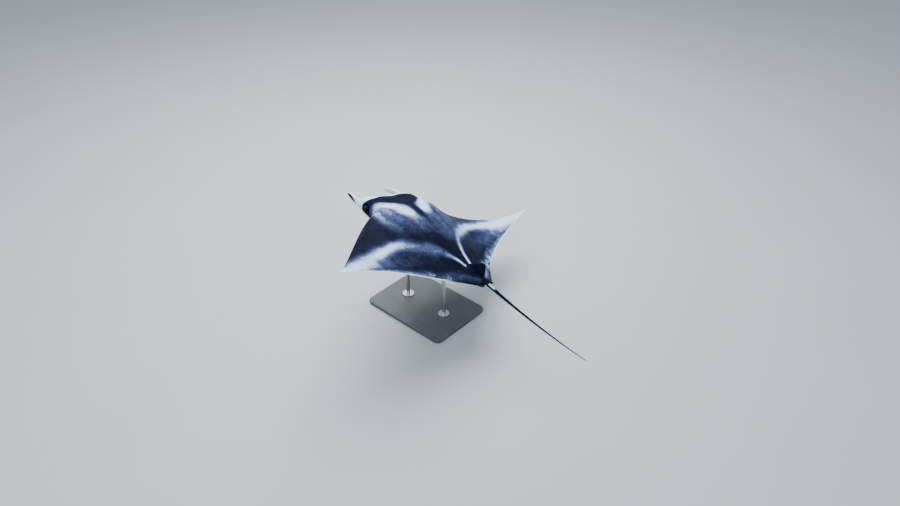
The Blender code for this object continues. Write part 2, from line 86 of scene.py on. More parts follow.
def along_stations(stations, at, column):
    """Cubic between neighbouring stations, with slopes held low enough never to overshoot."""
    table = np.asarray(sorted(stations), float)
    x, y = table[:, 0], table[:, column]
    rise = np.diff(y) / np.diff(x)
    before, after = rise[:-1], rise[1:]
    same = before * after > 0
    turn = np.where(same, 2 * before * after / np.where(same, before + after, 1), 0)
    slope = np.concatenate([rise[:1], turn, rise[-1:]])
    at = np.clip(at, x[0], x[-1])
    k = np.clip(np.searchsorted(x, at, side="right") - 1, 0, len(x) - 2)
    step = x[k + 1] - x[k]
    t = (at - x[k]) / step
    return ((1 + 2 * t) * (1 - t) ** 2 * y[k] + t * (1 - t) ** 2 * step * slope[k]
            + t * t * (3 - 2 * t) * y[k + 1] + t * t * (t - 1) * step * slope[k + 1])


def disc_edges(reach):
    """Front and rear end of the chord at a reach from 0, the midline, to 1, the wing tip."""
    on_nape = (reach < NAPE_SHARE)[..., None]
    nape_t = np.clip(reach / NAPE_SHARE, 0, 1)
    wing_t = np.clip((reach - NAPE_SHARE) / (1 - NAPE_SHARE), 0, 1)
    front = np.where(on_nape, bezier(NAPE_EDGE, nape_t), bezier(FRONT_EDGE, wing_t))
    inner = np.stack([REAR_EDGE[0][0] * nape_t,
                      TAIL_ROOT[1] + (REAR_EDGE[0][1] - TAIL_ROOT[1]) * nape_t ** 2], -1)
    return front, np.where(on_nape, inner, bezier(REAR_EDGE, wing_t))


def bell(x, y):
    """The body's height across the disc, 1 on the midline: exp(-0.8 (x / width) ^ squareness)."""
    return np.exp(-0.8 * (np.abs(x) / along_stations(BODY, y, 1)) ** along_stations(BODY, y, 4))


def end_rounding(c, share):
    """A quarter circle: 0 at the end of a chord, 1 from that share of the chord onwards."""
    return np.sqrt(1 - (1 - np.clip(c / share, 0, 1)) ** 2)


def disc_point(across, around):
    """The body's height times its bell, plus a blade in proportion to sqrt(c) (1 - c), where c
    runs from 0 at the front edge to 1 at the rear."""
    side = np.sign(0.5 - across)
    front, rear = disc_edges(np.abs(1 - 2 * across))
    c = (1 - np.cos(around)) / 2
    x, y = np.moveaxis(front + (rear - front) * c[..., None], -1, 0)
    body_share = bell(x, y)
    on_back = around < math.pi
    body = np.where(on_back, along_stations(BODY, y, 2), along_stations(BODY, y, 3))
    share = NAPE_ROUND + (SHOULDER_ROUND - NAPE_ROUND) * np.clip(x / FRONT_EDGE[0][0], 0, 1)
    body = body * body_share * end_rounding(c, share) * end_rounding(1 - c, TAIL_ROUND)
    blade = WING_TIP_THICK + WING_ROOT_THICK * np.clip(1 - 2 * x, 0, 1) ** WING_TAPER
    blade = blade * BLADE_PEAK * np.sqrt(c) * (1 - c) * np.where(on_back, BACK_SHARE, BELLY_SHARE)
    thick = body + blade * (1 - body_share) + EDGE_THICK * np.abs(np.sin(around)) ** 0.3
    return np.stack([side * x, y, np.where(on_back, thick, -thick)], -1)


@contextmanager
def edited(mesh):
    """The mesh opened for bmesh's tools, and written back when they are done."""
    shell = bmesh.new()
    shell.from_mesh(mesh)
    yield shell
    shell.to_mesh(mesh)
    shell.free()


def closed_surface(name, points):
    """A mesh over a grid of points in spans: rows along the form, columns once round it. The
    first and the last row shrink to the poles that close it."""
    rows, turns = points.shape[:2]
    places = np.concatenate([points[0].mean(0)[None], points[1:-1].reshape(-1, 3),
                             points[-1].mean(0)[None]]) * SPAN
    here = np.arange(turns)
    ahead = np.roll(here, -1)
    start = 1 + np.arange(rows - 3)[:, None] * turns
    quads = np.stack([start + here, start + ahead, start + turns + ahead, start + turns + here], -1)
    last = 1 + (rows - 3) * turns
    fans = np.concatenate([np.stack([0 * here, ahead + 1, here + 1], -1),
                           np.stack([0 * here + last + turns, last + here, last + ahead], -1)])
    mesh = bpy.data.meshes.new(name)
    mesh.from_pydata(places.tolist(), [], quads.reshape(-1, 4).tolist() + fans.tolist())
    with edited(mesh) as shell:
        bmesh.ops.recalc_face_normals(shell, faces=shell.faces)
    made = bpy.data.objects.new(name, mesh)
    bpy.context.collection.objects.link(made)
    return made


def grid(rows, turns):
    """Parameters along, 0 to 1, and around, once round without the repeated last column."""
    return np.meshgrid(rows, np.arange(turns) / turns * 2 * math.pi, indexing="ij")


wing_rows = np.linspace(1, NAPE_SHARE, WING_ROWS)
half_rows = np.concatenate([wing_rows, np.linspace(NAPE_SHARE, 0, NAPE_ROWS)[1:]])
disc_rows = np.concatenate([(1 - half_rows) / 2, (1 + half_rows[-2::-1]) / 2])
skin = closed_surface("ray_skin", disc_point(*grid(disc_rows, DISC_TURNS)))

# === Head ====================================
# The broad blunt head of gristle and skin juts ahead of the wings, hollowed between its corners,
# with a wide letterbox mouth at the very front. It grows out of the disc with no seam.
# how far along, distance ahead, half width, height of crown, depth of throat
HEAD = (
    (0.00, 0.2100, 0.000, 0.0000, 0.0000),
    (0.07, 0.2090, 0.070, 0.0062, 0.0066),
    (0.16, 0.2055, 0.104, 0.0135, 0.0130),
    (0.28, 0.1965, 0.1165, 0.0225, 0.0195),
    (0.45, 0.1780, 0.1200, 0.0345, 0.0275),
    (0.68, 0.1500, 0.1200, 0.0475, 0.0360),
    (0.93, 0.1050, 0.1165, 0.0575, 0.0400),
    (1.00, 0.0920, 0.000, 0.0000, 0.0000),
)
HEAD_SQUARE = 4.0
LIP_HOLLOW = 0.0175             # how far the middle of the lips lies behind a straight front
HEAD_ROWS, HEAD_TURNS = 84, 132


def head_point(along, around):
    """Superellipse sections, |x / w| ^ n + |z / h| ^ n = 1, at stations from the lips to the
    nape; the middle of each lies back by a hollow that fades with (1 - along) squared."""
    wide = along_stations(HEAD, along, 2)
    tall = np.where(around < math.pi, along_stations(HEAD, along, 3), along_stations(HEAD, along, 4))
    across, up = np.cos(around), np.sin(around)
    x = wide * np.sign(across) * np.abs(across) ** (2 / HEAD_SQUARE)
    z = tall * np.sign(up) * np.abs(up) ** (2 / HEAD_SQUARE)
    hollow = LIP_HOLLOW * (1 - along) ** 2 * (1 - (x / HEAD[5][2]) ** 2)
    return np.stack([x, along_stations(HEAD, along, 1) - hollow, z], -1)


def mesh_numbers(items, name, columns, kind=int):
    """What each vertex, edge, face or corner of a mesh says by a name, as rows of numbers."""
    numbers = np.empty(len(items) * columns, kind)
    items.foreach_get(name, numbers)
    return numbers.reshape(-1, columns)


def flat_points(piece):
    """The places of the piece's vertices."""
    return mesh_numbers(piece.data.vertices, "co", 3, float)


def set_points(piece, places):
    """Puts an array of places back into the piece's vertices."""
    piece.data.vertices.foreach_set("co", np.ascontiguousarray(places).ravel())
    piece.data.update()


source_marks = [bpy.data.materials.new(word) for word in ("kept", "joined")]
NUDGE = 0.00003                 # a failed join is tried again this much aside, in metres
WELD_GAP, SLIVER = 0.0006, 0.0001


def merge(piece, other, operation):
    """One exact Boolean. Returns the vertices on the line where the two surfaces met."""
    for index, part in enumerate((piece, other)):
        part.data.materials.clear()
        for mark in source_marks:
            part.data.materials.append(mark)
        part.data.polygons.foreach_set("material_index", [index] * len(part.data.polygons))
    modifier = piece.modifiers.new("merge", "BOOLEAN")
    modifier.object = other
    modifier.operation = operation
    modifier.solver = "EXACT"
    modifier.material_mode = "TRANSFER"
    for _ in range(6):
        bpy.context.view_layer.update()
        mesh = bpy.data.meshes.new_from_object(piece.evaluated_get(bpy.context.evaluated_depsgraph_get()))
        if len(mesh.polygons) > 0.7 * len(piece.data.polygons):
            break
        set_points(other, flat_points(other) + NUDGE)
    piece.modifiers.clear()
    piece.data = mesh
    bpy.data.objects.remove(other)
    source = np.repeat(mesh_numbers(mesh.polygons, "material_index", 1),
                       mesh_numbers(mesh.polygons, "loop_total", 1).ravel())
    joined = np.bincount(mesh_numbers(mesh.loops, "edge_index", 1).ravel(), source, len(mesh.edges))
    return np.unique(mesh_numbers(mesh.edges, "vertices", 2)[joined == 1])


def nearness(places, marks, radius):
    """1 on a mark, falling smoothly to 0 at the radius: 1 - 3 s^2 + 2 s^3 of the distance s."""
    near = np.zeros(len(places))
    inside = np.all((places > marks.min(0) - radius) & (places < marks.max(0) + radius), axis=1)
    for some in np.array_split(np.flatnonzero(inside), max(1, inside.sum() // 2000)):
        gaps = np.linalg.norm(places[some, None, :] - marks[None, :, :], axis=2)
        s = np.clip(gaps.min(1) / radius, 0, 1)
        near[some] = 1 - s * s * (3 - 2 * s)
    return near


def soften(piece, weight, rounds):
    """Moves each vertex, in each round, half its weight of the way to its neighbours' mean."""
    places = flat_points(piece)
    a, b = mesh_numbers(piece.data.edges, "vertices", 2).T
    live = (weight[a] > 0) | (weight[b] > 0)
    a, b = a[live], b[live]
    count = len(places)
    degree = np.maximum(np.bincount(a, minlength=count) + np.bincount(b, minlength=count), 1)
    for _ in range(rounds):
        total = np.stack([np.bincount(a, places[b, k], count) + np.bincount(b, places[a, k], count)
                          for k in range(3)], -1)
        places += 0.5 * weight[:, None] * (total / degree[:, None] - places)
    set_points(piece, places)


def tidy_mesh(piece):
    """Welds the slivers that a Boolean leaves and cuts every face into triangles."""
    with edited(piece.data) as shell:
        bmesh.ops.remove_doubles(shell, verts=shell.verts, dist=WELD_GAP)
        bmesh.ops.dissolve_degenerate(shell, edges=shell.edges, dist=SLIVER)
        bmesh.ops.triangulate(shell, faces=shell.faces)


def grow_on(piece, other, radius, rounds):
    """Joins another form to the piece and draws the two together where they meet."""
    seam = merge(piece, other, "UNION")
    marks = flat_points(piece)[seam]
    tidy_mesh(piece)
    soften(piece, nearness(flat_points(piece), marks, radius), rounds)


head = closed_surface("head", head_point(*grid(np.linspace(0, 1, HEAD_ROWS), HEAD_TURNS)))
grow_on(skin, head, 0.11, 40)

# === Cephalic fins ===========================
# Two long lobes of thin fin stand ahead of the mouth's corners. While the ray cruises each is
# rolled up like a scroll, with the free edge of the roll showing as a line along its length.
HORN_PATH = ((0.106, 0.158, -0.003), (0.121, 0.200, -0.003), (0.110, 0.237, -0.013), (0.090, 0.266, -0.029))
HORN_WIDE, HORN_TALL = 0.0098, 0.0155   # half sizes at the root
HORN_TIP, HORN_TAPER = 0.44, 1.2        # share of them that is left near the tip, and how it falls
ROLL_STEP = 0.15                # how far the free edge stands proud, as a share of the roll
ROLL_EDGE = 3.9                 # where round the lobe the free edge lies at its root, in radians
ROLL_TURN = 0.9                 # how far it has wandered by the tip


def horn_size(t):
    """Share of the root's size: tip + (1 - tip) (1 - t) ^ taper."""
    return HORN_TIP + (1 - HORN_TIP) * (1 - np.clip(t, 0, 1)) ** HORN_TAPER


def blunt_ends(along, power):
    """1 along a form, rounded off to 0 at both ends: sqrt(1 - (2 along - 1) ^ power)."""
    return np.sqrt(np.clip(1 - (2 * along - 1) ** power, 0, 1))


def horn_point(along, around, side):
    """Flattened sections along a curve; the radius falls by the roll's step once round."""
    ahead = bezier(HORN_PATH, np.clip(along + 0.01, 0, 1.01)) - bezier(HORN_PATH, along - 0.01)
    ahead /= np.linalg.norm(ahead, axis=-1, keepdims=True)
    out = np.cross(ahead, (0, 0, 1.0))
    out /= np.linalg.norm(out, axis=-1, keepdims=True)
    up = np.cross(out, ahead)
    size = horn_size(along) * blunt_ends(along, 12)
    wound = ((around - ROLL_EDGE - ROLL_TURN * along) / (2 * math.pi)) % 1
    size = size * (1 - ROLL_STEP * wound * np.clip(3 * along, 0, 1))
    place = (bezier(HORN_PATH, along) + out * (HORN_WIDE * size * np.cos(around))[..., None]
             + up * (HORN_TALL * size * np.sin(around))[..., None])
    return place * (side, 1, 1)


horn_grid = grid(np.linspace(0, 1, 64), 48)
for side in (1, -1):
    grow_on(skin, closed_surface("horn", horn_point(*horn_grid, side)), 0.035, 12)

# === Dorsal fin, pelvic fins and tail ========
# A small raked fin stands at the root of the tail, over two little pelvic fins. The tail is a
# bare whip, round in section. All are the same hide as the body, over thin cartilage.
# station up the fin, front, rear, half thickness
DORSAL = ((0.0, -0.138, -0.242, 0.0064), (0.4, -0.170, -0.237, 0.0050), (0.8, -0.199, -0.228, 0.0030),
          (1.0, -0.212, -0.222, 0.0016))
DORSAL_FOOT, DORSAL_TOP = 0.004, 0.055
PELVIC_START, PELVIC_END, PELVIC_DROP = -0.215, -0.268, -0.001
# station back along the fin, middle, half width, half thickness
PELVIC = ((0.0, 0.020, 0.010, 0.0036), (0.35, 0.024, 0.015, 0.0032), (0.75, 0.026, 0.014, 0.0022),
          (1.0, 0.026, 0.009, 0.0012))
BODY_ARCH = 0.36                # upward bow of the body, per span
TAIL_LENGTH = 0.395
TAIL_START, TAIL_LIFT = -0.240, 0.006
TAIL_ANGLE, TAIL_CURL = -0.03, 0.155
TAIL_RADIUS = ((0.0, 0.0100), (0.06, 0.0066), (0.25, 0.0044), (0.6, 0.0028), (1.0, 0.0011))


def dorsal_point(along, around):
    """Pointed sections stacked upwards: an ellipse between the front and the rear edge, thicker
    ahead by (1 + 0.35 cos around)."""
    front, rear = along_stations(DORSAL, along, 1), along_stations(DORSAL, along, 2)
    size = blunt_ends(along, 14)
    y = (front + rear) / 2 + (front - rear) / 2 * np.cos(around) * size
    x = along_stations(DORSAL, along, 3) * np.sin(around) * size * (1 + 0.35 * np.cos(around))
    return np.stack([x, y, DORSAL_FOOT + (DORSAL_TOP - DORSAL_FOOT) * along], -1)


def pelvic_point(along, around, side):
    """Thin ellipses from the fin's root to its blunt end, as wide as the stations say."""
    size = blunt_ends(along, 8)
    x = along_stations(PELVIC, along, 1) + along_stations(PELVIC, along, 2) * size * np.cos(around)
    z = PELVIC_DROP + along_stations(PELVIC, along, 3) * size * np.sin(around)
    return np.stack([side * x, PELVIC_START + (PELVIC_END - PELVIC_START) * along, z], -1)


def tail_point(along, around):
    """Circles along a curve whose angle grows evenly; less the body's bow, which the bending of
    the whole hide adds again."""
    s = np.clip(along * 1.02 - 0.01, 0, 1)
    steps = (np.arange(32) + 0.5) / 32
    angle = TAIL_ANGLE + TAIL_CURL * s[..., None] * steps
    y = TAIL_START - TAIL_LENGTH * s * np.cos(angle).mean(-1)
    z = TAIL_LIFT + BODY_ARCH * TAIL_START ** 2 + TAIL_LENGTH * s * np.sin(angle).mean(-1)
    lean = TAIL_ANGLE + TAIL_CURL * s
    radius = along_stations(TAIL_RADIUS, s, 1) * blunt_ends(along, 60)
    lift = radius * np.sin(around)
    y = y + lift * np.sin(lean)
    z = z + lift * np.cos(lean) - BODY_ARCH * y ** 2
    return np.stack([radius * np.cos(around), y, z], -1)


grow_on(skin, closed_surface("dorsal", dorsal_point(*grid(np.linspace(0, 1, 36), 40))), 0.040, 16)
pelvic_grid = grid(np.linspace(0, 1, 28), 32)
for side in (1, -1):
    grow_on(skin, closed_surface("pelvic", pelvic_point(*pelvic_grid, side)), 0.012, 5)
grow_on(skin, closed_surface("tail", tail_point(*grid(np.linspace(0, 1, 150) ** 1.3, 20))), 0.016, 6)

# === Mouth, nostrils, gills and eye sockets ==
# The hide opens at a wide mouth between rolled lips, at two nostrils over its corners, at five
# gill slits on each side of the throat, at a spiracle behind each eye and at the vent. Round
# each eye it stands up in a lid, a soft bulge and a brow, with creases behind.
MOUTH_HALF, MOUTH_AHEAD, MOUTH_DROP = (0.105, 0.042, 0.0050), 0.201, -0.004
# middle of the roll from the mouth's edge, half width, how far it stands out
LIP_ROLLS = {1: ((0.0036, 0.0028, 0.0013), (0.0100, 0.0026, -0.0008)),
             -1: ((0.0042, 0.0036, 0.0019), (0.0124, 0.0036, -0.0010), (0.0210, 0.0050, 0.0005))}
CORNER_AT = (0.1065, 0.1960, -0.0040)
CORNER_FOLDS = ((0.0085, 0.0024, -0.0012), (0.0140, 0.0032, 0.0011), (0.0205, 0.0024, -0.0006))
NOSTRIL_AT, NOSTRIL_HALF = (0.0885, 0.0048), (0.0052, 0.0040, 0.0016)
EYE_RADIUS, EYE_AT = 0.0068, (0.1193, 0.1670, 0.0040)
# the same for the folds round an eye, in its radii
EYE_FOLDS = ((1.14, 0.18, 0.0013), (1.52, 0.14, -0.0007), (2.05, 0.60, 0.0013), (2.95, 0.24, -0.0004),
             (3.60, 0.26, -0.0003))
BROW = 0.0014
SPIRACLE_AT, SPIRACLE_HALF = (0.1080, 0.1440), (0.0046, 0.0011, 0.0036)
VENT_AT, VENT_HALF = -0.218, (0.0016, 0.0100, 0.0030)
GILLS = 5
GILL_FIRST, GILL_STEP = (0.074, 0.112), (-0.006, -0.027)
GILL_HALF, GILL_SHORTER = 0.034, 0.0042
GILL_SLANT, GILL_BOW = 0.22, 0.006
GILL_WIDE, GILL_DEEP = 0.0012, 0.009
FLAP_PROUD = 0.0024
FLANK_FURROW, CROWN_FURROW = 0.0022, 0.0020
FINE_ZONE = (0.132, -0.020)     # the hide is finer within this half width and ahead of this line


def ball(centre, half, rows=20, turns=28):
    """An ellipsoid: (cos, sin cos, sin sin) scaled to the three half sizes."""
    along, around = grid(np.linspace(0, 1, rows), turns)
    ring = np.sin(along * math.pi)
    unit = np.stack([np.cos(along * math.pi), ring * np.cos(around), ring * np.sin(around)], -1)
    return np.asarray(centre) + unit * half


def ramp(value, low, high):
    """0 below low, 1 above high, smooth between."""
    t = np.clip((value - low) / (high - low), 0, 1)
    return t * t * (3 - 2 * t)


def rolls(gap, table):
    """A sum of soft rolls and grooves: height * exp(-((gap - middle) / half width) ^ 2)."""
    return sum(height * np.exp(-((gap - middle) / wide) ** 2) for middle, wide, height in table)


def bell_height(x, y, column):
    """Height of the back, column 2, or depth of the belly, column 3, times the body's bell."""
    return along_stations(BODY, y, column) * bell(x, y)


def gill_line(number, s):
    """Middle of a slit, s from -1 at its inner end to 1 at its outer: slanted and bowed."""
    half = GILL_HALF - GILL_SHORTER * number
    x = GILL_FIRST[0] + GILL_STEP[0] * number + half * s
    y = GILL_FIRST[1] + GILL_STEP[1] * number + GILL_SLANT * half * s - GILL_BOW * (1 - s * s)
    return x, y


def gill_blade(number, side):
    """A bent lens whose middle follows the slit, half in and half out of the belly."""
    points = ball((0, 0, 0), (1, GILL_WIDE, GILL_DEEP), 40, 12)
    x, y = gill_line(number, points[..., 0])
    return np.stack([side * x, y + points[..., 1], points[..., 2] - bell_height(x, y, 3)], -1)


def gill_gap(x, y, number):
    """Distance behind a slit's middle line, and how far along the slit, past 1 at its ends."""
    half = GILL_HALF - GILL_SHORTER * min(number, GILLS - 1)
    s = (np.abs(x) - GILL_FIRST[0] - GILL_STEP[0] * number) / half
    return gill_line(number, np.clip(s, -1, 1))[1] - y, np.abs(s)


def refine(piece, chosen, longest, passes=2):
    """Halves the edges of the chosen region that are longer than a limit, in metres, and evens
    out the new vertices."""
    for _ in range(passes):
        places = flat_points(piece)
        a, b = mesh_numbers(piece.data.edges, "vertices", 2).T
        inside = chosen(*(places / SPAN).T)
        picked = np.flatnonzero(inside[a] & inside[b]
                                & (np.linalg.norm(places[a] - places[b], axis=1) > longest))
        with edited(piece.data) as shell:
            shell.edges.ensure_lookup_table()
            bmesh.ops.subdivide_edges(shell, edges=[shell.edges[i] for i in picked], cuts=1)
            bmesh.ops.triangulate(shell, faces=shell.faces)
        soften(piece, 0.5 * chosen(*(flat_points(piece) / SPAN).T), 2)


def eye_distance(x, y, z):
    """Distance from the middle of the eye on the same side."""
    return np.sqrt((np.abs(x) - EYE_AT[0]) ** 2 + (y - EYE_AT[1]) ** 2 + (z - EYE_AT[2]) ** 2)


def near_gills(x, y, z):
    """The strips of belly close to a gill slit."""
    gaps = [gill_gap(x, y, number) for number in range(GILLS)]
    return (z < -0.02) & np.any([(np.abs(gap) < 0.0065) & (s < 1.15) for gap, s in gaps], axis=0)


refine(skin, lambda x, y, z: (np.abs(x) < FINE_ZONE[0]) & (y > FINE_ZONE[1]) & (y < 0.212), 0.010, 1)
refine(skin, near_gills, 0.0045)
refine(skin, lambda x, y, z: (np.abs(x) < 0.120) & (y > 0.180) & (y < 0.2125) & (np.abs(z) < 0.026),
       0.0080, 1)
refine(skin, lambda x, y, z: eye_distance(x, y, z) < 0.034, 0.0050)
refine(skin, lambda x, y, z: eye_distance(x, y, z) < 0.017, 0.0028)

places, normals = flat_points(skin), mesh_numbers(skin.data.vertex_normals, "vector", 3, float)
x, y, z = (places / SPAN).T
swell = np.zeros(len(places))
# gill flaps: each rises gently from one slit to the next, and drops into it
for number in range(GILLS + 1):
    gap, s = gill_gap(x, y, number)
    share = gap / -GILL_STEP[1]
    rise = np.clip(1 + share, 0, 1) ** 1.6 * (1 - ramp(share, -0.05, 0.05))
    swell += FLAP_PROUD * rise * np.exp(-(s / 0.95) ** 6) * (z < 0)
# lips: a roll and a groove along the upper jaw, a fuller roll and chin fold along the lower
lip_back = HEAD[0][1] - LIP_HOLLOW * (1 - (x / HEAD[5][2]) ** 2) - y
slot_half = MOUTH_HALF[2] * np.sqrt(np.clip(1 - (x / MOUTH_HALF[0]) ** 2, 0, 1))
lip_gap = np.abs(z - MOUTH_DROP) - slot_half
at_lips = (1 - ramp(lip_back, 0.012, 0.040)) * (1 - ramp(np.abs(x), 0.093, 0.107))
for above, table in LIP_ROLLS.items():
    swell += rolls(lip_gap, table) * at_lips * (np.sign(z - MOUTH_DROP) == above)
corner_gap = np.sqrt((np.abs(x) - CORNER_AT[0]) ** 2 + (y - CORNER_AT[1]) ** 2 + (z - CORNER_AT[2]) ** 2)
swell += rolls(corner_gap, CORNER_FOLDS) * ramp(np.abs(x), 0.097, 0.109)
# lid, bulge and creases round the eye, with a brow over it
eye_gap = eye_distance(x, y, z) / EYE_RADIUS
behind = np.where(eye_gap > 2.6, ramp(EYE_AT[1] - y, 0.0, 0.010), 1)
swell += rolls(eye_gap, EYE_FOLDS) * behind
swell += BROW * np.exp(-((eye_gap - 1.7) / 0.6) ** 2) * ramp(z - EYE_AT[2], 0.0, 0.006)
# furrows: along the flank where the wing joins the body, and down the crown of the head
flank = np.exp(-((np.abs(x) - 1.02 * along_stations(BODY, y, 1)) / 0.020) ** 2)
flank *= np.clip((0.10 - y) / 0.06, 0, 1) * np.clip((y + 0.22) / 0.05, 0, 1)
swell -= FLANK_FURROW * flank * np.sign(normals[:, 2]).clip(0, 1)
crown_fold = np.exp(-(x / 0.022) ** 2) * np.clip((y - 0.11) / 0.03, 0, 1) * np.clip(3 * normals[:, 2], 0, 1)
swell -= CROWN_FURROW * crown_fold * (1 - ramp(y, 0.178, 0.192))
set_points(skin, places + normals * (swell * SPAN)[:, None])


def on_hide(x, y=None, z=None, up=1):
    """The vertex nearest a place given by two of its distances: the highest, the lowest, or,
    where y is left open, the foremost."""
    points = flat_points(skin) / SPAN
    if y is None:
        return points[np.argmax(points[:, 1] - 40 * np.hypot(points[:, 0] - x, points[:, 2] - z))]
    return points[np.argmax(up * points[:, 2] - 40 * np.hypot(points[:, 0] - x, points[:, 1] - y))]


nostril = on_hide(NOSTRIL_AT[0], z=NOSTRIL_AT[1])
spiracle = on_hide(*SPIRACLE_AT)
vent = on_hide(0, VENT_AT, up=-1)
openings = closed_surface("openings", ball((0, MOUTH_AHEAD, MOUTH_DROP), MOUTH_HALF, 60, 48))
hollows = [ball(vent, VENT_HALF, 16, 16)]
for side in (1, -1):
    mirror = np.array((side, 1, 1))
    hollows += [gill_blade(number, side) for number in range(GILLS)]
    hollows.append(ball(mirror * EYE_AT, (EYE_RADIUS * 1.02,) * 3, 28, 32))
    hollows.append(ball(mirror * spiracle, SPIRACLE_HALF, 16, 16))
    hollows.append(ball(mirror * nostril, NOSTRIL_HALF, 16, 16))
with edited(openings.data) as cuts:
    for hollow in hollows:
        cut = closed_surface("cut", hollow)
        cuts.from_mesh(cut.data)
        bpy.data.objects.remove(cut)
merge(skin, openings, "DIFFERENCE")
inner_faces = mesh_numbers(skin.data.polygons, "material_index", 1).ravel()

# === Markings ================================
# A reef manta is near black above, with pale shoulder patches, a pale band through each wing
# that ends in two streaks before the dorsal fin, white lips and fin rolls, and a white belly
# with a charcoal rear margin and spots. Each mark is a soft stroke, and the shoulders and bands
# differ a little from side to side, as on a living ray; the left band is dimmed further by painted shade.
# routes of (distance from the midline, distance ahead, half width, strength), and for the painted sheen
# that crosses the back, left is negative
LEFT_SHOULDER = ((0.112, 0.136, 0.013, 0.85), (0.092, 0.112, 0.020, 0.94), (0.070, 0.088, 0.028, 1.00),
                 (0.050, 0.068, 0.029, 1.02), (0.046, 0.050, 0.028, 0.62), (0.052, 0.022, 0.030, 0.26),
                 (0.062, -0.010, 0.030, 0.08))
RIGHT_SHOULDER = ((0.116, 0.144, 0.011, 0.90), (0.090, 0.117, 0.018, 1.00), (0.062, 0.092, 0.025, 1.08),
                  (0.042, 0.072, 0.026, 1.05), (0.041, 0.056, 0.025, 0.62), (0.050, 0.028, 0.030, 0.30),
                  (0.060, 0.000, 0.030, 0.14))
SHOULDER_STRIP = ((0.124, 0.142, 0.009, 0.66), (0.141, 0.118, 0.010, 0.66), (0.156, 0.096, 0.011, 0.60),
                  (0.152, 0.066, 0.013, 0.48), (0.142, 0.036, 0.016, 0.32), (0.128, 0.004, 0.018, 0.12))
SHOULDER_FILL = ((0.116, 0.124, 0.020, 0.54), (0.122, 0.094, 0.022, 0.50), (0.114, 0.060, 0.028, 0.38),
                 (0.098, 0.026, 0.032, 0.18))
# painted sheen: a lighter tone over the back and the front of the right wing, where light falls on them
PAINTED_BACK_SHEEN = ((-0.110, 0.000, 0.030, 0.05), (-0.055, 0.016, 0.036, 0.17), (0.000, 0.004, 0.036, 0.16),
             (0.030, -0.044, 0.028, 0.26), (0.090, -0.006, 0.042, 0.22), (0.180, 0.030, 0.050, 0.26),
             (0.290, 0.022, 0.036, 0.18))
REAR_TONE = ((0.380, -0.070, 0.028, 0.36), (0.300, -0.076, 0.029, 0.29), (0.210, -0.084, 0.030, 0.17),
             (0.120, -0.100, 0.028, 0.08))
NAPE_LINE = ((0.0, 0.100), (0.020, 0.106), (0.050, 0.116), (0.085, 0.136), (0.106, 0.151),
             (0.118, 0.162), (0.130, 0.180))
RIGHT_BAND = ((0.500, -0.068, 0.044, 1.05), (0.420, -0.047, 0.034, 1.00), (0.350, -0.030, 0.027, 0.92),
              (0.290, -0.014, 0.020, 0.86), (0.250, -0.009, 0.016, 0.86), (0.208, -0.012, 0.016, 0.86),
              (0.165, -0.027, 0.017, 0.80), (0.130, -0.040, 0.0165, 0.72), (0.097, -0.052, 0.0145, 0.62),
              (0.072, -0.066, 0.0120, 0.58), (0.055, -0.081, 0.0095, 0.58), (0.036, -0.106, 0.0074, 0.74),
              (0.020, -0.140, 0.0055, 0.98), (0.012, -0.173, 0.0045, 1.10))
# the left band, its outer part dimmed by painted shade on the left wing
LEFT_BAND_SHADED = ((0.500, -0.068, 0.044, 0.95), (0.420, -0.060, 0.029, 0.84), (0.350, -0.046, 0.026, 0.74),
             (0.300, -0.036, 0.0200, 0.76), (0.250, -0.026, 0.0170, 0.86), (0.200, -0.023, 0.0150, 0.86),
             (0.165, -0.033, 0.0150, 0.66), (0.130, -0.056, 0.0180, 0.38), (0.095, -0.079, 0.0185, 0.33),
             (0.068, -0.102, 0.0140, 0.37), (0.045, -0.129, 0.0085, 0.52), (0.028, -0.153, 0.0054, 0.85),
             (0.018, -0.175, 0.0044, 0.95))
LEADING_STRIP = ((0.122, 0.128, 0.005, 0.60), (0.165, 0.113, 0.006, 0.75), (0.215, 0.086, 0.006, 0.65),
                 (0.270, 0.050, 0.005, 0.25))
REAR_STRIP = ((0.022, -0.236, 0.011, 0.50), (0.060, -0.210, 0.013, 0.62), (0.105, -0.178, 0.013, 0.45))
LIP_BAND, LIP_CORNER = 0.0165, 0.0125   # depth of the white lips, and how much more at the corners
TRAILING_WIDE = 0.0034


def stroke(x, y, route):
    """A soft brush stroke: the greatest along the route of strength * 2 ^ -(gap / half width)^2."""
    best = np.zeros_like(x)
    for (x0, y0, w0, s0), (x1, y1, w1, s1) in zip(route, route[1:]):
        dx, dy = x1 - x0, y1 - y0
        t = np.clip(((x - x0) * dx + (y - y0) * dy) / (dx * dx + dy * dy), 0, 1)
        gap = np.hypot(x - x0 - dx * t, y - y0 - dy * t)
        best = np.maximum(best, (s0 + (s1 - s0) * t) * 2 ** -(gap / (w0 + (w1 - w0) * t)) ** 2)
    return best


places, normals = flat_points(skin), mesh_numbers(skin.data.vertex_normals, "vector", 3, float)
x, y, z = (places / SPAN).T
out = np.abs(x)
table_front, table_rear = disc_edges(np.linspace(0, 1, 3000))
fore = np.interp(out, table_front[:, 0], table_front[:, 1]) - y
aft = y - np.interp(out, table_rear[:, 0], table_rear[:, 1])
on_tail = ramp(-0.262 - y, 0, 0.004)
on_horn = ramp(y, 0.203, 0.210) * (out > 0.086)
on_fin = ramp(z - bell_height(x, y, 2), 0.0015, 0.0040) * (out < 0.016) * ramp(-0.128 - y, 0, 0.006)

# the dark of the back reaches below the eye on the head, and round the tail and its fins
level = ramp(z, -0.0165, -0.0095)
head_share = ramp(y, 0.108, 0.145)
back = ramp(normals[:, 2], -0.25, 0.15) * (1 - head_share) + level * head_share
back = np.maximum.reduce([back, on_tail, on_horn, on_fin,
                          ramp(-0.228 - y, 0, 0.010) * ramp(normals[:, 2], -0.85, -0.60)])


def two_sided(left, right):
    """A stroke on each side, each with its own route."""
    return np.where(x > 0, stroke(out, y, right), stroke(out, y, left))


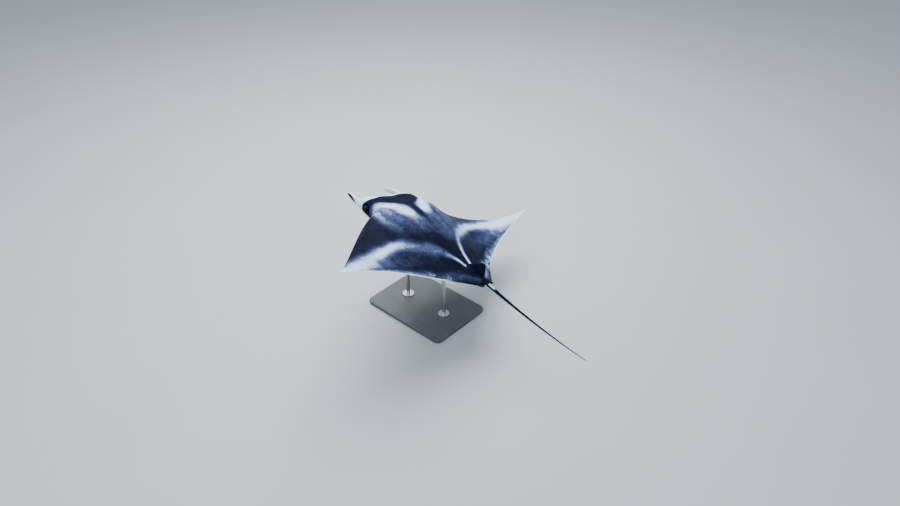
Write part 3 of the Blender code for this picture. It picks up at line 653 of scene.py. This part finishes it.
pale = np.maximum.reduce([two_sided(LEFT_BAND_SHADED, RIGHT_BAND), two_sided(LEFT_SHOULDER, RIGHT_SHOULDER),
                          stroke(out, y, SHOULDER_STRIP) * np.where(x > 0, 0.6, 1.0),
                          stroke(out, y, SHOULDER_FILL),
                          stroke(out, y, LEADING_STRIP) * np.where(x > 0, 1.1, 0.2)])
# the rear tone is the ray's own colour; the tone over the back is painted sheen
rear_tone_and_back_sheen = np.maximum(stroke(x, y, PAINTED_BACK_SHEEN), stroke(out, y, REAR_TONE) * np.where(x > 0, 1.1, 0.9))
pale = 1 - (1 - np.clip(pale, 0, 1)) * (1 - rear_tone_and_back_sheen)
nape_gap = np.interp(out, *np.transpose(NAPE_LINE)) - y
pale *= ramp(nape_gap, -0.004, 0.008) * (1 - 0.8 * (1 - ramp(out, 0.006, 0.026)) * ramp(y, 0.02, 0.06))
pale *= ramp(normals[:, 2], -0.15, 0.15)
lip_back = HEAD[0][1] - LIP_HOLLOW * (1 - (x / HEAD[5][2]) ** 2) - y
lip_reach = LIP_BAND + LIP_CORNER * ramp(out, 0.045, 0.100)
lips = 1.05 * (1 - ramp(lip_back, lip_reach, lip_reach + 0.005)) * ramp(y, 0.165, 0.172)
eye_gap = eye_distance(x, y, z) / EYE_RADIUS
pale = np.maximum(pale, lips) * ramp(eye_gap, 1.9, 2.6)
trailing = (1 - ramp(aft, TRAILING_WIDE * 0.7, TRAILING_WIDE * 1.6)) * ramp(out, 0.09, 0.15)
haze = 0.52 * (1 - ramp(aft, 0.003, 0.034)) * ramp(out, 0.13, 0.19) * (1 - ramp(out, 0.32, 0.42))
rear_strip = stroke(out, y, REAR_STRIP) * np.where(x > 0, 1.0, 0.35)
pale = np.maximum.reduce([pale, trailing, haze, rear_strip]) * (1 - on_fin)
speckle = (1 - ramp(aft, 0.012, 0.046)) * ramp(out, 0.065, 0.12)
speckle *= np.where(x > 0, 1.5 * (1 - ramp(out, 0.20, 0.30)), 1 - ramp(out, 0.17, 0.28))
horn_t = np.clip((y - HORN_PATH[0][1]) / (HORN_PATH[3][1] - HORN_PATH[0][1]), 0, 1)
horn_middle = bezier(HORN_PATH, horn_t)
horn_up = (z - horn_middle[:, 2]) / (HORN_TALL * horn_size(horn_t))
horn_in = (horn_middle[:, 0] - out) / (HORN_WIDE * horn_size(horn_t))
horn_lean = 0.8 * horn_up + 0.6 * horn_in + 1.0 * (1 - ramp(horn_t, 0.30, 0.75))
horn_white = np.maximum(ramp(horn_lean, -0.60, -0.10), 0.8 * ramp(0.4 * horn_in - horn_up, 0.65, 0.95))
pale = pale * (1 - on_horn) + horn_white * on_horn
# a painted highlight along the top of the tail's root
painted_tail_highlight = 0.70 * (1 - ramp(-y, 0.285, 0.296)) * ramp(normals[:, 2], 0.1, 0.5)
pale = pale * (1 - on_tail) + painted_tail_highlight * on_tail

belly_dark = (1 - ramp(aft, 0.022, 0.060)) * ramp(out, 0.10, 0.20)
belly_dark = np.maximum(belly_dark, ramp(out, 0.43, 0.49))
belly_dark = np.maximum(belly_dark, 0.8 * (1 - ramp(fore, 0.004, 0.016)) * ramp(out, 0.116, 0.150))
# the skin along each gill slit is darkened: painted shade in the slits
gaps = [gill_gap(x, y, number) for number in range(GILLS)]
gill_slit_shade = np.max([(1 - ramp(np.abs(gap), 0.001, 0.005)) * (1 - ramp(s, 0.80, 1.10))
                    for gap, s in gaps], axis=0)
belly_dark = np.maximum(belly_dark, 0.45 * gill_slit_shade * (z < 0))
spot_zone = ramp(0.10 - y, 0, 0.05) * ramp(y, -0.22, -0.15) * (1 - ramp(out, 0.09, 0.16))

# === Wing beat and pose ======================
# The finished hide is bent as the living wings bend, up from the shoulders with the tips twisted
# nose down, and set at its climb and bank over the stand.
PITCH, BANK = math.radians(17.5), math.radians(22.0)
BODY_MIDDLE = np.array((0.01, 0.0, 0.88))
HINGE = 0.100
RIGHT_BEND, LEFT_BEND = (0.05, 0.52, 0.54), (-0.06, 0.26, 0.33)
RIGHT_TWIST, LEFT_TWIST = -0.33, -0.57
TWIST_AXIS = (0.02, -0.14)


def wing_beat(points):
    """Bends and twists flat points, in metres, in the ray's own frame. The bend angle is a sum
    of powers of the reach past the hinge, the twist grows with its square."""
    flat = points / SPAN
    side = np.where(flat[:, 0] < 0, -1.0, 1.0)
    out = np.abs(flat[:, 0])
    length = 0.5 - HINGE
    reach = np.clip((out - HINGE) / length, 0, None)
    bend = np.where(side[:, None] > 0, RIGHT_BEND, LEFT_BEND)
    powers = np.arange(1, 4)
    steps = (np.arange(24) + 0.5) / 24
    angles = ((reach[:, None] * steps)[..., None] ** powers * bend[:, None, :]).sum(-1)
    spread = np.minimum(out, HINGE) + length * reach * np.cos(angles).mean(1)
    lift = length * reach * np.sin(angles).mean(1)
    tilt = (reach[:, None] ** powers * bend).sum(1)
    twist = np.where(side > 0, RIGHT_TWIST, LEFT_TWIST) * reach ** 2
    axis = TWIST_AXIS[0] + TWIST_AXIS[1] * reach
    ahead = flat[:, 1] - axis
    up = flat[:, 2] + BODY_ARCH * flat[:, 1] ** 2
    normal = ahead * np.sin(twist) + up * np.cos(twist)
    return np.stack([side * (spread - normal * np.sin(tilt)),
                     axis + ahead * np.cos(twist) - up * np.sin(twist),
                     lift + normal * np.cos(tilt)], -1) * SPAN


def posed(points):
    """Ray's frame to the world's: bank about its length, pitch, then half a turn about +Z."""
    cp, sp, cb, sb = math.cos(PITCH), math.sin(PITCH), math.cos(BANK), math.sin(BANK)
    banked = points @ np.array(((cb, 0, sb), (0, 1, 0), (-sb, 0, cb))).T
    pitched = banked @ np.array(((1, 0, 0), (0, cp, -sp), (0, sp, cp))).T
    return pitched * (-1, -1, 1) + BODY_MIDDLE


def keep(piece, name, values):
    """Stores a value for each vertex, or for each face, for the piece's finish to read."""
    kind = "FLOAT_VECTOR" if values.ndim == 2 else "FLOAT"
    domain = "POINT" if len(values) == len(piece.data.vertices) else "FACE"
    layer = piece.data.attributes.new(name, kind, domain)
    word = "vector" if values.ndim == 2 else "value"
    layer.data.foreach_set(word, np.ascontiguousarray(values, float).ravel())


set_points(skin, posed(wing_beat(places)))
for name, values in (("lie", places), ("pale", pale), ("back", back), ("speckle", speckle),
                     ("belly_dark", belly_dark), ("spot_zone", spot_zone), ("inner", inner_faces)):
    keep(skin, name, values)


# === Hide ====================================
# The skin feels like fine sandpaper, set all over with tiny denticles, and is dull when dry. Its
# dark back is not even: cloudy and flecked, it breaks up into grain at the edge of every mark.
NIGHT = ((0.0004, 0.0012, 0.0075), (0.0045, 0.0062, 0.0220))    # darkest and palest of the back
SLATE, CHALK = (0.066, 0.090, 0.205), (0.54, 0.69, 0.94)        # dull marks, and full ones
BELLY = ((0.68, 0.72, 0.76), (0.84, 0.86, 0.86))
CHARCOAL, GULLET = (0.022, 0.028, 0.045), (0.050, 0.034, 0.036)


class Wire:
    """One socket of a finish. Sums on it add Math nodes, and node() adds any other node."""

    def __init__(self, tree, socket=None):
        self.tree, self.socket = tree, socket

    def node(self, kind, settings={}, inputs={}, out=0):
        """Adds a node: its settings first, then the values or wires of its sockets."""
        made = self.tree.nodes.new("ShaderNode" + kind)
        for name, value in settings.items():
            if name == "stops":
                while len(made.color_ramp.elements) < len(value):
                    made.color_ramp.elements.new(0.5)
                for element, (place, colour) in zip(made.color_ramp.elements, value):
                    element.position = place
                    element.color = (*colour, 1.0)
            else:
                setattr(made, name, value)
        for name, value in inputs.items():
            if isinstance(value, Wire):
                self.tree.links.new(value.socket, made.inputs[name])
            else:
                made.inputs[name].default_value = value
        return Wire(self.tree, made.outputs[out] if made.outputs else None)

    def maths(self, operation, *values):
        """A Math node on values or wires."""
        return self.node("Math", {"operation": operation}, dict(enumerate(values)))

    def __add__(self, other):
        return self.maths("ADD", self, other)

    def __sub__(self, other):
        return self.maths("SUBTRACT", self, other)

    def __rsub__(self, other):
        return self.maths("SUBTRACT", other, self)

    def __mul__(self, other):
        return self.maths("MULTIPLY", self, other)

    def __pow__(self, other):
        return self.maths("POWER", self, other)

    __radd__, __rmul__ = __add__, __mul__

    def ramp(self, low, high):
        """0 below low and 1 above high, smooth between."""
        return self.node("MapRange", {"interpolation_type": "SMOOTHSTEP"},
                         {"Value": self, "From Min": low, "From Max": high})

    def mix(self, first, second):
        """Colour that goes from the first to the second as this wire goes from 0 to 1."""
        return self.node("Mix", {"data_type": "RGBA"}, {0: self, 6: colour(first), 7: colour(second)}, 2)

    def read(self, name, vector=False):
        """What keep() stored under a name."""
        return self.node("Attribute", {"attribute_name": name}, {}, 1 if vector else 2)

    def noise(self, place, scale, detail=4.0, rough=0.5):
        """Soft three-dimensional noise, 0 to 1."""
        return self.node("TexNoise", {}, {"Vector": place, "Scale": scale, "Detail": detail,
                                          "Roughness": rough})

    def bump(self, height, distance, strength=1.0, under=None):
        """Relief from a height wire, laid over another relief where one is given."""
        inputs = {"Height": height, "Distance": distance, "Strength": strength}
        if under:
            inputs["Normal"] = under
        return self.node("Bump", {}, inputs)


def colour(value):
    """A wire as it is, or three numbers as an opaque colour."""
    return value if isinstance(value, Wire) else (*value, 1.0)


def finish(name, build, **constants):
    """A material whose build(wire) gives the links of its shader; the rest are constants."""
    made = bpy.data.materials.new(name)
    made.use_nodes = True
    made.node_tree.nodes.clear()
    start = Wire(made.node_tree)
    words = {key.replace("_", " ").title(): value for key, value in constants.items()}
    words = {key.replace("Ior", "IOR"): value for key, value in words.items()}
    shader = start.node("BsdfPrincipled", {}, {**words, **build(start)})
    start.node("OutputMaterial", {}, {"Surface": shader})
    return made


def dress(piece, material):
    """Gives the piece one material, shaded smooth but for edges sharper than 55 degrees."""
    piece.data.materials.clear()
    piece.data.materials.append(material)
    piece.data.polygons.foreach_set("material_index", [0] * len(piece.data.polygons))
    piece.data.shade_smooth()
    piece.data.set_sharp_from_angle(angle=math.radians(55))


def hide_finish(w):
    """Soft marks broken up by grain over a cloudy back, with fin rays and denticles in relief."""
    lie, pale = w.read("lie", True), w.read("pale")
    inner = w.read("inner")
    cloud, flecks = w.noise(lie, 3.5, 5, 0.6), w.noise(lie, 30, 6, 0.65)
    grain, patches = w.noise(lie, 260, 3, 0.6), w.noise(lie, 11, 4, 0.65)
    patched = (patches - 0.5) * 1.8 + (flecks - 0.5) * 1.2
    broken = pale + patched * pale * (1.02 - pale) * 1.3
    white = broken.node("Clamp", {}, {0: broken})
    freckles = w.noise(lie, 80, 5, 0.8).ramp(0.42, 0.68) * w.noise(lie, 10, 4).ramp(0.38, 0.62)
    mottle = w.read("speckle") * (freckles * 0.75 + flecks * 0.40)
    white = white.maths("MAXIMUM", white, mottle)
    night = (cloud * 0.5 + patches * 0.5 + (flecks - 0.5) * 0.4).ramp(0.36, 0.66)
    night = night.mix(*NIGHT)
    slate = white.ramp(0.0, 0.60).mix(night, SLATE)
    top = white.ramp(0.35, 1.0).mix(slate, CHALK)
    spots = w.node("TexVoronoi", {"feature": "F1"}, {"Vector": lie, "Scale": 9.0, "Randomness": 1.0})
    spotted = (1 - (spots + (flecks - 0.5) * 0.10).ramp(0.13, 0.19)) * w.read("spot_zone")
    # belly marks and spots, with the painted shade along the gill slits
    dark_under = w.read("belly_dark") + (flecks - 0.5) * 0.35
    dark_under = dark_under.maths("MAXIMUM", dark_under.ramp(0.3, 0.8), spotted * 0.9)
    under = dark_under.mix(cloud.mix(*BELLY), CHARCOAL)
    edge = (w.read("back") + (flecks - 0.5) * 0.5).ramp(0.35, 0.65)
    coat = inner.mix(edge.mix(under, top), GULLET)
    north = w.node("SeparateXYZ", {}, {0: lie}, 1)
    rays = north * 150 + w.noise(lie, 4, 3) * 14
    relief = w.bump(rays.maths("SINE", rays) * 0.25 + flecks, 0.0014, 0.30)
    relief = w.bump(grain, 0.0006, 0.45, relief)
    rough = 0.46 + flecks * 0.16 + grain * 0.08
    return {"Base Color": coat, "Roughness": rough, "Normal": relief}


dress(skin, finish("ray_skin", hide_finish, coat_weight=0.0, specular_ior_level=0.04))
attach(skin, "root")
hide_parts("head", "lower_jaw", "trunk", "pectoral_fin_left", "pectoral_fin_right", "wing_tip_left",
            "wing_tip_right", "cephalic_fin_left", "cephalic_fin_right", "dorsal_fin", "pelvic_fin_left",
            "pelvic_fin_right", "tail_base", "tail_middle", "tail_tip")

# === Eyes ====================================
# Each eye looks out sideways from the corner of the head: a dark glassy ball with a brown iris
# round a flattened pupil, set in the hide's socket.
EYE_ROWS, EYE_TURNS = 40, 48
CORNEA_PROUD = 0.06
SOCKET_SLATE = (0.010, 0.012, 0.018)
for word, side in (("right", 1), ("left", -1)):
    low, high = (np.array(corner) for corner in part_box("eye_" + word))
    radius = (high - low).min() / 2
    along, around = grid(np.linspace(0, 1, EYE_ROWS), EYE_TURNS)
    axis = posed(wing_beat(np.array([EYE_AT, np.add(EYE_AT, (0.001, 0, 0))]) * (side, 1, 1) * SPAN))
    outward = (axis[1] - axis[0]) / np.linalg.norm(axis[1] - axis[0])
    level = np.cross(outward, (0, 0, 1.0))
    level /= np.linalg.norm(level)
    upward = np.cross(level, outward)
    lean = along * math.pi
    bulge = 1 + CORNEA_PROUD * np.exp(-(lean / 0.55) ** 4) - CORNEA_PROUD
    ring = np.sin(lean)
    local = np.stack([np.cos(lean), ring * np.cos(around), ring * np.sin(around)], -1) * bulge[..., None]
    local = local * radius
    eye = closed_surface("eye_glass_" + word, local @ np.stack([outward, level, upward]) / SPAN)
    set_points(eye, flat_points(eye) + (low + high) / 2)
    offsets = (flat_points(eye) - (low + high) / 2) / radius
    keep(eye, "gaze", np.stack([offsets @ level, offsets @ upward, offsets @ outward], -1))

    def eye_finish(w):
        """Black flattened pupil in a brown iris with radial streaks, ringed by dark slate."""
        gaze = w.read("gaze", True)
        parts = [w.node("SeparateXYZ", {}, {0: gaze}, axis) for axis in range(3)]
        wide = (parts[0] * parts[0] * 0.45 + parts[1] * parts[1] * 1.7) ** 0.5
        ring_gap = (parts[0] * parts[0] + parts[1] * parts[1]) ** 0.5
        angle = parts[0].maths("ARCTAN2", parts[1], parts[0])
        rays = w.node("CombineXYZ", {}, {0: angle * 3.0, 1: ring_gap * 1.2})
        streak = w.node("TexNoise", {"noise_dimensions": "2D"}, {"Vector": rays, "Scale": 4.0, "Detail": 4.0})
        iris = streak.ramp(0.35, 0.7).mix((0.008, 0.006, 0.005), (0.042, 0.028, 0.019))
        rim = ring_gap.ramp(0.55, 0.68).mix(iris, SOCKET_SLATE)
        shade = wide.ramp(0.26, 0.31).mix((0.001, 0.001, 0.0015), rim)
        front = parts[2].ramp(0.0, 0.15).mix(SOCKET_SLATE, shade)
        return {"Base Color": front, "Roughness": 0.10 + streak * 0.06}

    dress(eye, finish("eye_glass_" + word, eye_finish, coat_weight=0.0, specular_ior_level=0.13))
    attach(eye, "root")
    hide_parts("eye_" + word)

# === Stand ===================================
# A satin-lacquered board carries two brushed steel rods, each turned with a flange that four
# hexagon-socket screws hold down. A flared steel collar closes the joint under the belly.
ROD_RADIUS, FLANGE_THICK = 0.021, 0.012
SCREWS, SCREW_CIRCLE, SCREW_RADIUS, SCREW_PROUD = 4, 0.042, 0.0068, 0.0012
SOCKET_RADIUS, SOCKET_DEEP, SCREW_CHAMFER, SCREW_SUNK = 0.0034, 0.0030, 0.0009, 0.002
COLLAR_WALL, COLLAR_DROP, COLLAR_FLARE, COLLAR_BITE = 0.006, 0.060, 0.006, 0.016


def board_finish(w):
    """Sprayed lacquer: a faint orange-peel relief, with fine dust and rubbed patches."""
    place = w.node("TexCoord", {}, {}, 3)
    peel, wear = w.noise(place, 240, 2), w.noise(place, 5, 6, 0.7)
    coat = wear.ramp(0.35, 0.7).mix((0.052, 0.056, 0.062), (0.072, 0.077, 0.084))
    return {"Base Color": coat, "Roughness": 0.32 + wear * 0.22, "Normal": w.bump(peel, 0.0004, 0.4)}


def steel_finish(w):
    """Brushed steel: fine rings round the rod, from noise drawn out across its height."""
    place = w.node("TexCoord", {}, {}, 3)
    brushed = w.node("Mapping", {}, {"Vector": place, "Scale": (8.0, 8.0, 900.0)})
    lines, smear = w.noise(brushed, 1.0, 3), w.noise(place, 14, 4)
    coat = lines.mix((0.42, 0.43, 0.45), (0.60, 0.61, 0.62))
    return {"Base Color": coat, "Roughness": 0.20 + lines * 0.14 + smear * 0.10,
            "Normal": w.bump(lines, 0.0002, 0.3)}


def turned(name, place, profile, turns, sides=None):
    """A profile of (radius, height) turned round an upright axis at a place; where a row's flag
    is set, its radius follows a hexagon, cos 30 / cos(angle within the side)."""
    radius, height = np.array(profile).T
    around = np.arange(turns) / turns * 2 * math.pi
    hexagon = math.cos(math.pi / 6) / np.cos((around % (math.pi / 3)) - math.pi / 6)
    flags = np.zeros(len(profile)) if sides is None else np.array(sides)
    ring = radius[:, None] * (1 + flags[:, None] * (hexagon - 1))
    points = np.stack([ring * np.cos(around), ring * np.sin(around),
                       np.repeat(height[:, None], turns, axis=1)], -1)
    return closed_surface(name, (points + place) / SPAN)


board, steel = finish("stand_board", board_finish), finish("stand_steel", steel_finish, metallic=1.0)
for node, material in (("stand_base", board), ("stand_rod_front", steel), ("stand_rod_rear", steel)):
    node_object = bpy.data.objects[node]
    for holder in node_object.material_slots:
        holder.material = material

for word in ("front", "rear"):
    low, high = (np.array(corner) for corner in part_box("stand_rod_" + word))
    axis = (low + high) / 2 * (1, 1, 0)
    screw = ((0, SCREW_PROUD - SOCKET_DEEP), (SOCKET_RADIUS, SCREW_PROUD - SOCKET_DEEP),
             (SOCKET_RADIUS, SCREW_PROUD), (SCREW_RADIUS - SCREW_CHAMFER, SCREW_PROUD),
             (SCREW_RADIUS, SCREW_PROUD - SCREW_CHAMFER), (SCREW_RADIUS, -SCREW_SUNK), (0, -SCREW_SUNK))
    for number in range(SCREWS):
        turn = (number + 0.5) / SCREWS * 2 * math.pi
        place = axis + (SCREW_CIRCLE * math.cos(turn), SCREW_CIRCLE * math.sin(turn), low[2] + FLANGE_THICK)
        piece = turned(f"stand_screw_{word}_{number + 1}", place, screw, 36, (0, 1, 1, 0, 0, 0, 0))
        dress(piece, steel)
        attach(piece, "root")
    outer = ROD_RADIUS + COLLAR_WALL
    collar = ((0, COLLAR_BITE), (outer + COLLAR_FLARE, COLLAR_BITE), (outer + COLLAR_FLARE, -0.003),
              (outer + COLLAR_FLARE * 0.45, -0.009), (outer + COLLAR_FLARE * 0.1, -0.017), (outer, -0.026),
              (outer, 0.0015 - COLLAR_DROP), (outer - 0.0015, -COLLAR_DROP), (0, -COLLAR_DROP))
    piece = turned("stand_collar_" + word, axis + (0, 0, high[2]), collar, 56)
    dress(piece, steel)
    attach(piece, "root")

# === Studio ==================================
# A pale seamless floor, a broad soft light high ahead of the ray, a weaker one on the camera's
# side, and the camera above and behind the ray's left wing.
CAMERA_AT = (4.6515, 4.5196, 5.2143)
CAMERA_AZIMUTH, CAMERA_ELEVATION = 131.883, 34.858
LENS, SENSOR = 30.92, 36.0
FLOOR_HALF = 400.0

bpy.ops.mesh.primitive_grid_add(x_subdivisions=8, y_subdivisions=8, size=2 * FLOOR_HALF)
floor = bpy.context.object
floor.name = "studio_floor"


def floor_finish(w):
    """Pale matt paint with the slightest clouding."""
    place = w.node("TexCoord", {}, {}, 3)
    return {"Base Color": w.noise(place, 0.6, 3).mix((0.41, 0.43, 0.46), (0.45, 0.47, 0.50)),
            "Roughness": 0.75 + w.noise(place, 30, 3) * 0.1}


dress(floor, finish("studio_floor", floor_finish))


def soft_light(name, place, aim, size, watts, tint):
    """A square area light that looks at its aim."""
    lamp = bpy.data.lights.new(name, "AREA")
    lamp.size, lamp.energy, lamp.color = size, watts, tint
    holder = bpy.data.objects.new(name, lamp)
    holder.location = place
    away = np.subtract(aim, place)
    holder.rotation_euler = (math.atan2(math.hypot(away[0], away[1]), -away[2]), 0,
                             math.atan2(away[1], away[0]) - math.pi / 2)
    bpy.context.collection.objects.link(holder)


soft_light("overhead", (-2.0, -2.6, 8.0), (0, 0, 0.9), 7.0, 1600, (0.95, 0.98, 1.0))
soft_light("camera_side", (8.0, 3.4, 6.0), (0, 0, 0.9), 5.5, 560, (0.94, 0.97, 1.0))
world = bpy.data.worlds.new("studio")
world.use_nodes = True
world.node_tree.nodes["Background"].inputs["Color"].default_value = (0.78, 0.83, 0.90, 1.0)
world.node_tree.nodes["Background"].inputs["Strength"].default_value = 0.80
bpy.context.scene.world = world

eye_view = bpy.data.cameras.new("camera")
eye_view.lens, eye_view.sensor_width = LENS, SENSOR
eye_view.clip_end = 4 * FLOOR_HALF
camera = bpy.data.objects.new("camera", eye_view)
camera.location = CAMERA_AT
camera.rotation_euler = (math.radians(90 - CAMERA_ELEVATION), 0, math.radians(CAMERA_AZIMUTH))
bpy.context.collection.objects.link(camera)
bpy.context.scene.camera = camera
